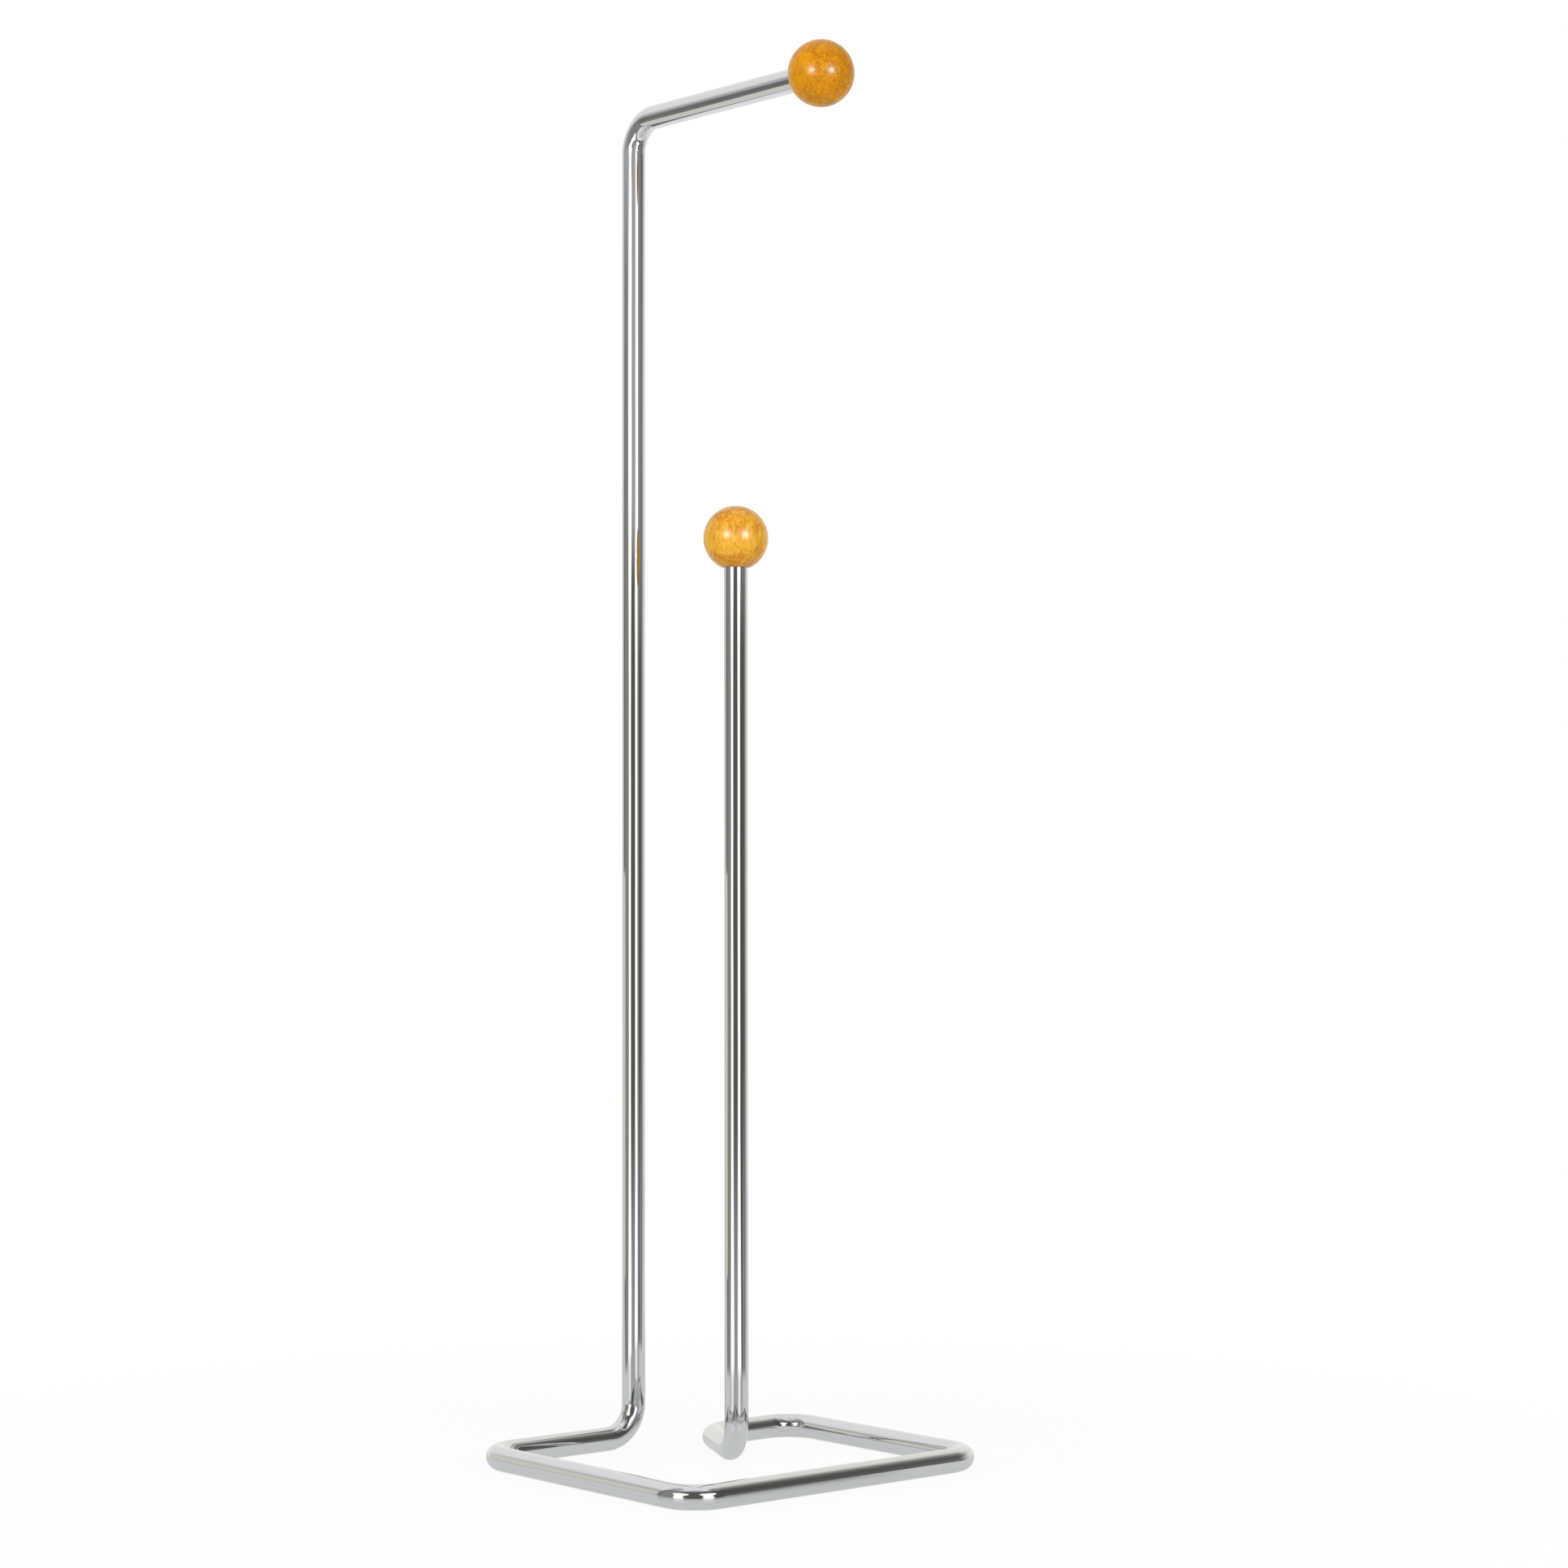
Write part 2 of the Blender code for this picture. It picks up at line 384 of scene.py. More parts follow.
def build_card(name, finish, degrees, distance, width, bottom, top, level, edge):
    """Upright card that faces the rack, with soft edges. Only reflections show it."""
    outward = from_rack(degrees)
    sideways = UP.cross(outward)
    middle, half_width = outward * distance, sideways * width / 2
    mesh = upright_mesh(name, middle - half_width, middle + half_width, bottom, top)
    material, tree = new_material(finish)
    spot = add_node(tree, "ShaderNodeTexCoord").outputs["Object"]
    height = add_node(tree, "ShaderNodeSeparateXYZ", inputs={0: spot}).outputs["Z"]
    across = add_node(tree, "ShaderNodeVectorMath", DOT_PRODUCT, {0: spot, 1: sideways}).outputs["Value"]
    aside = add_node(tree, "ShaderNodeMath", ABSOLUTE, {0: across}).outputs[0]
    share = 1.0
    for place, limit, inner in (
        (height, bottom, bottom + edge),
        (height, top, top - edge),
        (aside, width / 2, width / 2 - edge),
    ):
        inside = add_node(
            tree, "ShaderNodeMapRange", inputs={"Value": place, "From Min": limit, "From Max": inner}
        ).outputs[0]
        share = add_node(tree, "ShaderNodeMath", MULTIPLY, {0: share, 1: inside}).outputs[0]
    clear = add_node(tree, "ShaderNodeBsdfTransparent").outputs[0]
    lit = add_node(tree, "ShaderNodeEmission", inputs={"Color": grey(level), "Strength": 1.0}).outputs[0]
    surface = add_node(tree, "ShaderNodeMixShader", inputs={0: share, 1: clear, 2: lit}).outputs[0]
    add_node(tree, "ShaderNodeOutputMaterial", inputs={"Surface": surface})
    material.cycles.emission_sampling = "NONE"
    mesh.materials.append(material)
    card = add_object(name, mesh)
    show_in_reflections_only(card)


# Board on the table to the left of the rack, between two angles from the camera's side
BOARD_CREAM = "E8E6DC"
BOARD_DISTANCE = 0.69
BOARD_HEIGHT = 0.245
BOARD_FROM, BOARD_TO = -92, -128


def build_board():
    """Low cream board that stands on the table. Only reflections show it."""
    start, end = [from_rack(degrees) * BOARD_DISTANCE for degrees in (BOARD_FROM, BOARD_TO)]
    mesh = upright_mesh("board", start, end, 0, BOARD_HEIGHT)
    material, tree = new_material("cream_board")
    cream = add_node(tree, "ShaderNodeEmission", inputs={"Color": linear(BOARD_CREAM), "Strength": 1.0})
    add_node(tree, "ShaderNodeOutputMaterial", inputs={"Surface": cream.outputs[0]})
    material.cycles.emission_sampling = "NONE"
    mesh.materials.append(material)
    board = add_object("board", mesh)
    show_in_reflections_only(board)


# Floor, as the camera sees it. The rack's shadow fades out between two distances
FLOOR_REACH = 12.0
FLOOR_ALBEDO = 0.80
PAPER_WHITE = 0.97
SHADOW_SHARE = 0.09
SHADOW_FADE_FROM, SHADOW_FADE_TO = 0.12, 0.5

# Table, as polished metal sees it. It is glossy on the camera's side and reaches far out at the sides
TABLE_LEVEL = 0.84
TABLE_TINT = (0.99, 1.005, 1.0)
TABLE_GLOW_SHARE = 0.75
TABLE_GLOSS = 0.12
TABLE_IOR = 1.5
TABLE_REACH_FRONT = 0.272
TABLE_REACH_SIDE = 1.3
TABLE_EDGE_BLUR = 0.028
BACKDROP_FROM, BACKDROP_TO = 0.3, 0.6

# Where the table changes, as cosines of the angle from the camera's side
GLOSSY_FROM, GLOSSY_TO = 0.3, 0.6
SIDE_REACH, FRONT_REACH = -0.38, -0.15
BEHIND_FROM, BEHIND_TO = -0.65, -0.8


def seen_floor(tree, distance, in_view, white):
    """White where nothing shades it, with the rack's shadow."""
    paper = add_node(
        tree, "ShaderNodeMapRange", inputs={"Value": in_view, "To Min": FLOOR_ALBEDO, "To Max": PAPER_WHITE}
    ).outputs[0]
    shaded = add_node(tree, "ShaderNodeBsdfDiffuse", inputs={"Color": paper}).outputs[0]
    lift = add_node(
        tree,
        "ShaderNodeMapRange",
        SMOOTH_STEP,
        {
            "Value": distance,
            "From Min": SHADOW_FADE_FROM,
            "From Max": SHADOW_FADE_TO,
            "To Min": 1 - SHADOW_SHARE,
            "To Max": 1.0,
        },
    ).outputs[0]
    white_share = add_node(tree, "ShaderNodeMath", MULTIPLY, {0: in_view, 1: lift}).outputs[0]
    return add_node(tree, "ShaderNodeMixShader", inputs={0: white_share, 1: shaded, 2: white}).outputs[0]


def reflected_table(tree, distance, toward, white):
    """Pale table that ends not far in front of the rack, and runs into the white backdrop behind it."""
    table_grey = [TABLE_LEVEL * share for share in TABLE_TINT] + [1]
    matt = add_node(tree, "ShaderNodeBsdfDiffuse", inputs={"Color": table_grey}).outputs[0]
    glow = add_node(tree, "ShaderNodeEmission", inputs={"Color": table_grey, "Strength": 1.0}).outputs[0]
    even = add_node(tree, "ShaderNodeMixShader", inputs={0: TABLE_GLOW_SHARE, 1: matt, 2: glow}).outputs[0]
    gloss = add_node(
        tree, "ShaderNodeBsdfAnisotropic", inputs={"Color": WHITE, "Roughness": TABLE_GLOSS}
    ).outputs[0]
    glance = add_node(tree, "ShaderNodeFresnel", inputs={"IOR": TABLE_IOR}).outputs[0]
    glossy = add_node(
        tree,
        "ShaderNodeMapRange",
        SMOOTH_STEP,
        {"Value": toward, "From Min": GLOSSY_FROM, "From Max": GLOSSY_TO},
    ).outputs[0]
    gloss_share = add_node(tree, "ShaderNodeMath", MULTIPLY, {0: glance, 1: glossy}).outputs[0]
    table = add_node(tree, "ShaderNodeMixShader", inputs={0: gloss_share, 1: even, 2: gloss}).outputs[0]
    reach = add_node(
        tree,
        "ShaderNodeMapRange",
        SMOOTH_STEP,
        {
            "Value": toward,
            "From Min": SIDE_REACH,
            "From Max": FRONT_REACH,
            "To Min": TABLE_REACH_SIDE,
            "To Max": TABLE_REACH_FRONT,
        },
    ).outputs[0]
    past_edge = add_node(tree, "ShaderNodeMath", SUBTRACT, {0: distance, 1: reach}).outputs[0]
    table_ends = add_node(
        tree,
        "ShaderNodeMapRange",
        SMOOTH_STEP,
        {"Value": past_edge, "From Min": -TABLE_EDGE_BLUR, "From Max": TABLE_EDGE_BLUR},
    ).outputs[0]
    far = add_node(
        tree,
        "ShaderNodeMapRange",
        SMOOTH_STEP,
        {"Value": distance, "From Min": BACKDROP_FROM, "From Max": BACKDROP_TO},
    ).outputs[0]
    behind = add_node(
        tree,
        "ShaderNodeMapRange",
        SMOOTH_STEP,
        {"Value": toward, "From Min": BEHIND_FROM, "From Max": BEHIND_TO},
    ).outputs[0]
    backdrop_share = add_node(tree, "ShaderNodeMath", MULTIPLY, {0: far, 1: behind}).outputs[0]
    blended = add_node(tree, "ShaderNodeMixShader", inputs={0: backdrop_share, 1: table, 2: white}).outputs[0]
    nothing = add_node(tree, "ShaderNodeBsdfTransparent").outputs[0]
    return add_node(tree, "ShaderNodeMixShader", inputs={0: table_ends, 1: blended, 2: nothing}).outputs[0]


def build_floor():
    """Pale paper floor. The camera sees it white, with the rack's shadow, and polished metal as a table."""
    mesh = bpy.data.meshes.new("floor")
    corners = [(x, y, 0) for x, y in ((-1, -1), (1, -1), (1, 1), (-1, 1))]
    mesh.from_pydata([Vector(c) * FLOOR_REACH for c in corners], [], [(0, 1, 2, 3)])
    material, tree = new_material("pale_paper_floor")
    rays = add_node(tree, "ShaderNodeLightPath").outputs
    in_view = add_node(
        tree, "ShaderNodeMath", MAXIMUM, {0: rays["Is Camera Ray"], 1: rays["Is Transmission Ray"]}
    ).outputs[0]
    spot = add_node(tree, "ShaderNodeTexCoord").outputs["Object"]
    distance = add_node(tree, "ShaderNodeVectorMath", {"operation": "LENGTH"}, {0: spot}).outputs["Value"]
    heading = add_node(tree, "ShaderNodeVectorMath", {"operation": "NORMALIZE"}, {0: spot}).outputs["Vector"]
    toward = add_node(tree, "ShaderNodeVectorMath", DOT_PRODUCT, {0: heading, 1: TO_CAMERA}).outputs["Value"]
    white = add_node(tree, "ShaderNodeEmission", inputs={"Color": WHITE, "Strength": 1.0}).outputs[0]
    seen = seen_floor(tree, distance, in_view, white)
    reflected = reflected_table(tree, distance, toward, white)
    surface = add_node(
        tree, "ShaderNodeMixShader", inputs={0: rays["Is Glossy Ray"], 1: seen, 2: reflected}
    ).outputs[0]
    add_node(tree, "ShaderNodeOutputMaterial", inputs={"Surface": surface})
    material.cycles.emission_sampling = "NONE"
    mesh.materials.append(material)
    floor = add_object("floor", mesh)
    return floor


# Panels that the chrome shows as stripes of light
PANEL_DISTANCE = 1.1
PANEL_TOP = 0.88
PANEL_BOTTOM = -0.35
PANEL_WIDTH = 0.98
PANEL_LEVEL = 1.65
PANEL_SOLID_LEVEL = 0.4
PANEL_HALF_GLOW = 0.212
PANEL_EDGE_BLUR = 0.07
PANEL_WARM, PANEL_COOL = "FFF6E6", "F4F7FF"

# The glow is wider low down and high up, mostly on its right, and comes to a point at the top
PANEL_LOW_SPREAD = 0.14
PANEL_LOW_FROM, PANEL_LOW_TO = 0.09, -0.13
PANEL_HIGH_SPREAD = 0.165
PANEL_HIGH_FROM, PANEL_HIGH_TO = 0.36, 0.56
PANEL_LEAN = 0.25
PANEL_TAPER_FROM, PANEL_TAPER_TO = 0.77, 0.83


def panel_cloth(name, centre, sideways):
    """Diffuser cloth that glows in the middle, warmer on its left and cooler on its right, and fades to
    nothing at its edges."""
    material, tree = new_material(name)
    spot = add_node(tree, "ShaderNodeTexCoord").outputs["Object"]
    from_centre = add_node(tree, "ShaderNodeVectorMath", SUBTRACT, {0: spot, 1: centre}).outputs["Vector"]
    across = add_node(
        tree, "ShaderNodeVectorMath", DOT_PRODUCT, {0: from_centre, 1: sideways}
    ).outputs["Value"]
    height = add_node(tree, "ShaderNodeSeparateXYZ", inputs={0: spot}).outputs["Z"]
    low_spread, high_spread = [
        add_node(
            tree,
            "ShaderNodeMapRange",
            SMOOTH_STEP,
            {"Value": height, "From Min": start, "From Max": end, "To Max": most},
        ).outputs[0]
        for start, end, most in (
            (PANEL_LOW_FROM, PANEL_LOW_TO, PANEL_LOW_SPREAD),
            (PANEL_HIGH_FROM, PANEL_HIGH_TO, PANEL_HIGH_SPREAD),
        )
    ]
    spread = add_node(tree, "ShaderNodeMath", ADD, {0: low_spread, 1: high_spread}).outputs[0]
    lean = add_node(tree, "ShaderNodeMath", MULTIPLY, {0: spread, 1: PANEL_LEAN}).outputs[0]
    leaning = add_node(tree, "ShaderNodeMath", SUBTRACT, {0: across, 1: lean}).outputs[0]
    aside = add_node(tree, "ShaderNodeMath", ABSOLUTE, {0: leaning}).outputs[0]
    spread_aside = add_node(tree, "ShaderNodeMath", SUBTRACT, {0: aside, 1: spread}).outputs[0]
    taper = add_node(
        tree,
        "ShaderNodeMapRange",
        inputs={
            "Value": height,
            "From Min": PANEL_TAPER_FROM,
            "From Max": PANEL_TAPER_TO,
            "To Max": PANEL_HALF_GLOW + PANEL_HIGH_SPREAD + PANEL_EDGE_BLUR,
        },
    ).outputs[0]
    inside = add_node(tree, "ShaderNodeMath", ADD, {0: spread_aside, 1: taper}).outputs[0]
    level = add_node(
        tree,
        "ShaderNodeMapRange",
        SMOOTH_STEP,
        {
            "Value": inside,
            "From Min": PANEL_HALF_GLOW + PANEL_EDGE_BLUR,
            "From Max": PANEL_HALF_GLOW - PANEL_EDGE_BLUR,
            "To Max": PANEL_LEVEL,
        },
    ).outputs[0]
    side_share = add_node(
        tree,
        "ShaderNodeMapRange",
        inputs={"Value": across, "From Min": -PANEL_HALF_GLOW, "From Max": PANEL_HALF_GLOW},
    ).outputs[0]
    tint = add_node(
        tree,
        "ShaderNodeMix",
        COLOUR_MIX,
        {"Factor": side_share, "A": linear(PANEL_WARM), "B": linear(PANEL_COOL)},
    ).outputs["Result"]
    lit = add_node(tree, "ShaderNodeEmission", inputs={"Color": tint, "Strength": level}).outputs[0]
    clear = add_node(tree, "ShaderNodeBsdfTransparent").outputs[0]
    back = add_node(tree, "ShaderNodeNewGeometry").outputs["Backfacing"]
    front = add_node(tree, "ShaderNodeMath", SUBTRACT, {0: 1.0, 1: back}).outputs[0]
    solid = add_node(
        tree, "ShaderNodeMapRange", inputs={"Value": level, "From Max": PANEL_SOLID_LEVEL}
    ).outputs[0]
    shown = add_node(tree, "ShaderNodeMath", MULTIPLY, {0: front, 1: solid}).outputs[0]
    surface = add_node(tree, "ShaderNodeMixShader", inputs={0: shown, 1: clear, 2: lit}).outputs[0]
    add_node(tree, "ShaderNodeOutputMaterial", inputs={"Surface": surface})
    return material


def build_panel(name, degrees, *receivers):
    """Upright diffuser panel, which stands off the tall post at this angle. Only the chrome shows it."""
    post_place = Vector((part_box("frame_rod")[0].x + BAR_RADIUS, 0, 0))
    outward = from_rack(degrees)
    sideways = UP.cross(outward)
    centre = post_place + outward * PANEL_DISTANCE
    half_width = sideways * PANEL_WIDTH / 2
    mesh = upright_mesh(name, centre + half_width, centre - half_width, PANEL_BOTTOM, PANEL_TOP)
    mesh.materials.append(panel_cloth(name + "_cloth", centre, sideways))
    panel = add_object(name, mesh)
    show_in_reflections_only(panel)
    light_only(panel, *receivers)


# Bar


# Chrome's patterns, in waves or lines per metre across and along the bar. Waves are about 9 mm across and
# 45 mm long. Polishing lines are finer than can be seen, so they are drawn about 0.6 mm apart
CHROME = "D5D6D7"
WAVES_PER_METRE = (110, 110, 22)
WAVE_DEPTH = 0.07 * MM
LINES_PER_METRE = (1600, 1600, 40)
LINE_DEPTH = 0.0003 * MM
LINE_FROM, LINE_TO = 0.3, 0.7
POLISHED, HAZY = 0.03, 0.07


def chrome_on_drawn_bar():
    """Bright chrome plate on drawn steel bar: a near-perfect mirror, a little bluer and darker than silver.
    Drawing and polishing leave lines along the bar and a slight waviness, so that straight reflections
    wander."""
    material, tree = new_material("chrome_plate_on_drawn_steel_bar")
    place = add_node(tree, "ShaderNodeAttribute", {"attribute_name": "straight_place"}).outputs["Vector"]
    long_waves = add_node(tree, "ShaderNodeMapping", inputs={"Vector": place, "Scale": WAVES_PER_METRE})
    waves = add_node(
        tree,
        "ShaderNodeTexNoise",
        inputs={"Vector": long_waves.outputs[0], "Scale": 1.0, "Detail": 1.0, "Roughness": 0.4},
    ).outputs["Fac"]
    fine_lines = add_node(tree, "ShaderNodeMapping", inputs={"Vector": place, "Scale": LINES_PER_METRE})
    lines = add_node(
        tree,
        "ShaderNodeTexNoise",
        inputs={"Vector": fine_lines.outputs[0], "Scale": 1.0, "Detail": 2.0, "Roughness": 0.6},
    ).outputs["Fac"]
    wavy = add_node(
        tree, "ShaderNodeBump", inputs={"Height": waves, "Strength": 1.0, "Distance": WAVE_DEPTH}
    ).outputs[0]
    lined = add_node(
        tree,
        "ShaderNodeBump",
        inputs={"Height": lines, "Strength": 1.0, "Distance": LINE_DEPTH, "Normal": wavy},
    ).outputs[0]
    haze = add_node(
        tree,
        "ShaderNodeMapRange",
        inputs={
            "Value": lines,
            "From Min": LINE_FROM,
            "From Max": LINE_TO,
            "To Min": POLISHED,
            "To Max": HAZY,
        },
    ).outputs[0]
    shader = add_node(
        tree,
        "ShaderNodeBsdfPrincipled",
        inputs={"Base Color": linear(CHROME), "Metallic": 1.0, "Roughness": haze, "Normal": lined},
    )
    add_node(tree, "ShaderNodeOutputMaterial", inputs={"Surface": shader.outputs[0]})
    return material


def bar_corners():
    """Where the bar's straight runs meet, from the arm's end round the base to the spare post's end."""
    low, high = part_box("frame_rod")
    inset = Vector((BAR_RADIUS, BAR_RADIUS, BAR_RADIUS))
    low, high = low + inset, high - inset
    arm_ball, spare_ball = ball_centre("arm_ball"), ball_centre("spare_ball")
    bar_end = BALL_RADIUS - BALL_END_WALL - GLUE_GAP
    arm_end = arm_ball + Vector((bar_end, 0, 0))
    spare_end = spare_ball + UP * bar_end
    return_x = low.x + 2 * BAR_RADIUS + RETURN_GAP
    return [
        arm_end,
        arm_end - Vector((BAR_END_CHAMFER, 0, 0)),
        Vector((low.x, arm_ball.y, high.z)),
        Vector((low.x, arm_ball.y, low.z)),
        Vector((low.x, low.y, low.z)),
        Vector((high.x, low.y, low.z)),
        Vector((high.x, high.y, low.z)),
        Vector((return_x, high.y, low.z)),
        Vector((return_x, arm_ball.y + ELBOW_OFFSET, low.z)),
        Vector((spare_ball.x, spare_ball.y, low.z)),
        spare_end - UP * BAR_END_CHAMFER,
        spare_end,
    ]


def bar_tree():
    """Round the corners of a line, and run a round bar along it, which is chamfered at both ends. Each point
    keeps its place in the straight bar, for the finish to follow."""
    tree = bpy.data.node_groups.new("bent_bar", "GeometryNodeTree")
    sizes = [
        ("Bar Radius", "NodeSocketFloat"),
        ("Bend Radius", "NodeSocketFloat"),
        ("End Chamfer", "NodeSocketFloat"),
        ("Ring Spacing", "NodeSocketFloat"),
        ("Bend Steps", "NodeSocketInt"),
        ("Sides", "NodeSocketInt"),
        ("Finish", "NodeSocketMaterial"),
    ]
    tree.interface.new_socket("Corners", in_out="INPUT", socket_type="NodeSocketGeometry")
    for name, kind in sizes:
        tree.interface.new_socket(name, in_out="INPUT", socket_type=kind)
    tree.interface.new_socket("Bar", in_out="OUTPUT", socket_type="NodeSocketGeometry")
    given = add_node(tree, "NodeGroupInput").outputs
    line = add_node(tree, "GeometryNodeMeshToCurve", inputs={"Mesh": given["Corners"]}).outputs[0]
    end_points = add_node(tree, "GeometryNodeCurveEndpointSelection", inputs={"Start Size": 2, "End Size": 2})
    bend_radius = add_node(
        tree,
        "GeometryNodeSwitch",
        {"input_type": "FLOAT"},
        {"Switch": end_points.outputs[0], "False": given["Bend Radius"], "True": 0.0},
    ).outputs[0]
    bent = add_node(
        tree,
        "GeometryNodeFilletCurve",
        {"mode": "POLY"},
        {"Curve": line, "Count": given["Bend Steps"], "Radius": bend_radius},
    ).outputs[0]
    # Long straight runs get rings in between, so that their shading stays straight
    place = add_node(tree, "GeometryNodeInputPosition").outputs[0]
    index = add_node(tree, "GeometryNodeInputIndex").outputs[0]
    following = add_node(
        tree, "GeometryNodeOffsetPointInCurve", inputs={"Point Index": index, "Offset": 1}
    ).outputs["Point Index"]
    next_place = add_node(
        tree, "GeometryNodeFieldAtIndex", {"data_type": "FLOAT_VECTOR"}, {"Value": place, "Index": following}
    ).outputs[0]
    run = add_node(
        tree, "ShaderNodeVectorMath", {"operation": "DISTANCE"}, {0: place, 1: next_place}
    ).outputs["Value"]
    rings = add_node(tree, "ShaderNodeMath", DIVIDE, {0: run, 1: given["Ring Spacing"]}).outputs[0]
    ringed = add_node(tree, "GeometryNodeSubdivideCurve", inputs={"Curve": bent, "Cuts": rings}).outputs[0]
    along = add_node(tree, "GeometryNodeSplineParameter").outputs["Length"]
    keep_along = tree.nodes.new("GeometryNodeCaptureAttribute")
    keep_along.capture_items.new("FLOAT", "Along")
    tree.links.new(ringed, keep_along.inputs["Geometry"])
    tree.links.new(along, keep_along.inputs["Along"])
    chamfered = add_node(
        tree, "ShaderNodeMath", SUBTRACT, {0: given["Bar Radius"], 1: given["End Chamfer"]}
    ).outputs[0]
    share = add_node(tree, "ShaderNodeMath", DIVIDE, {0: chamfered, 1: given["Bar Radius"]}).outputs[0]
    tips = add_node(tree, "GeometryNodeCurveEndpointSelection", inputs={"Start Size": 1, "End Size": 1})
    width_share = add_node(
        tree,
        "GeometryNodeSwitch",
        {"input_type": "FLOAT"},
        {"Switch": tips.outputs[0], "False": 1.0, "True": share},
    ).outputs[0]
    section = add_node(
        tree,
        "GeometryNodeCurvePrimitiveCircle",
        inputs={"Resolution": given["Sides"], "Radius": given["Bar Radius"]},
    ).outputs[0]
    keep_round = tree.nodes.new("GeometryNodeCaptureAttribute")
    keep_round.capture_items.new("VECTOR", "Round")
    tree.links.new(section, keep_round.inputs["Geometry"])
    tree.links.new(place, keep_round.inputs["Round"])
    swept = add_node(
        tree,
        "GeometryNodeCurveToMesh",
        inputs={
            "Curve": keep_along.outputs["Geometry"],
            "Profile Curve": keep_round.outputs["Geometry"],
            "Scale": width_share,
            "Fill Caps": True,
        },
    ).outputs[0]
    round_place = add_node(tree, "ShaderNodeSeparateXYZ", inputs={0: keep_round.outputs["Round"]}).outputs
    straight_place = add_node(
        tree,
        "ShaderNodeCombineXYZ",
        inputs={"X": round_place["X"], "Y": round_place["Y"], "Z": keep_along.outputs["Along"]},
    ).outputs[0]
    marked = add_node(
        tree,
        "GeometryNodeStoreNamedAttribute",
        {"data_type": "FLOAT_VECTOR", "domain": "POINT"},
        {"Geometry": swept, "Name": "straight_place", "Value": straight_place},
    ).outputs[0]
    realised = add_node(tree, "GeometryNodeRealizeInstances", inputs={"Geometry": marked}).outputs[0]
    finished = add_node(
        tree, "GeometryNodeSetMaterial", inputs={"Geometry": realised, "Material": given["Finish"]}
    ).outputs[0]
    add_node(tree, "NodeGroupOutput", inputs={"Bar": finished})
    return tree


def build_bar():
    """The whole frame, bent from one bar."""
    finish = chrome_on_drawn_bar()
    corners = bar_corners()
    line = bpy.data.meshes.new("bar_line")
    line.from_pydata(corners, [(place, place + 1) for place in range(len(corners) - 1)], [])
    maker = add_object("bar_line", line)
    modifier = maker.modifiers.new("bent_bar", "NODES")
    modifier.node_group = bar_tree()
    sizes = {
        "Bar Radius": BAR_RADIUS,
        "Bend Radius": BEND_RADIUS,
        "End Chamfer": BAR_END_CHAMFER,
        "Ring Spacing": RING_SPACING,
        "Bend Steps": BEND_STEPS,
        "Sides": BAR_SIDES,
        "Finish": finish,
    }
    for item in modifier.node_group.interface.items_tree:
        if item.in_out == "INPUT" and item.name in sizes:
            modifier[item.identifier] = sizes[item.name]
    graph = bpy.context.evaluated_depsgraph_get()
    mesh = bpy.data.meshes.new_from_object(maker.evaluated_get(graph), depsgraph=graph)
    bpy.data.objects.remove(maker)
    mesh.name = "bent_bar"
    faces = bmesh.new()
    faces.from_mesh(mesh)
    bmesh.ops.remove_doubles(faces, verts=faces.verts, dist=MERGE_DISTANCE)
    bmesh.ops.recalc_face_normals(faces, faces=faces.faces)
    faces.to_mesh(mesh)
    faces.free()
    mesh.shade_smooth()
    mesh.set_sharp_from_angle(angle=math.radians(CREASE_ANGLE))
    bar = add_object("bent_bar", mesh)
    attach(bar, "root")
    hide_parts("frame_rod")
    return bar


# Balls


# Wood's patterns. Fibres are finer than can be seen, so they are drawn 0.6 mm across. Bundles of fibres are
# 1.3 mm across, and patches of stain 7 mm
FIBRES_PER_METRE = 1650
FIBRE_DEPTH = 0.008 * MM
BUNDLES_PER_METRE = 760
BUNDLE_DEPTH = 0.015 * MM
PATCHES_PER_METRE = 140

# Where each colour starts to show in its pattern, where it shows most, and its share there
STAIN_AND_SHADE_SHOWS = (0.38, 0.72, 1.0)
BUNDLE_SHOWS = (0.45, 0.7, 0.9)
FLECK_SHOWS = (0.54, 0.74, 0.9)
PORE_SHOWS = (0.47, 0.3, 0.7)

# The deep colour grows from one distance to another along the grain, as shares of the ball's radius. It is
# end-grain stain and also painted shade: the upright ball's top and bottom and the arm ball's outer end are
# drawn darker
END_GRAIN_FROM, END_GRAIN_TO = 0.3, 0.95
END_GRAIN_STAIN_AND_SHADE = 0.38

WOOD_ROUGHNESS = 0.45
GLANCING_ROUGHNESS = 0.08
GLANCING_FROM, GLANCING_TO = 0.3, 0.65


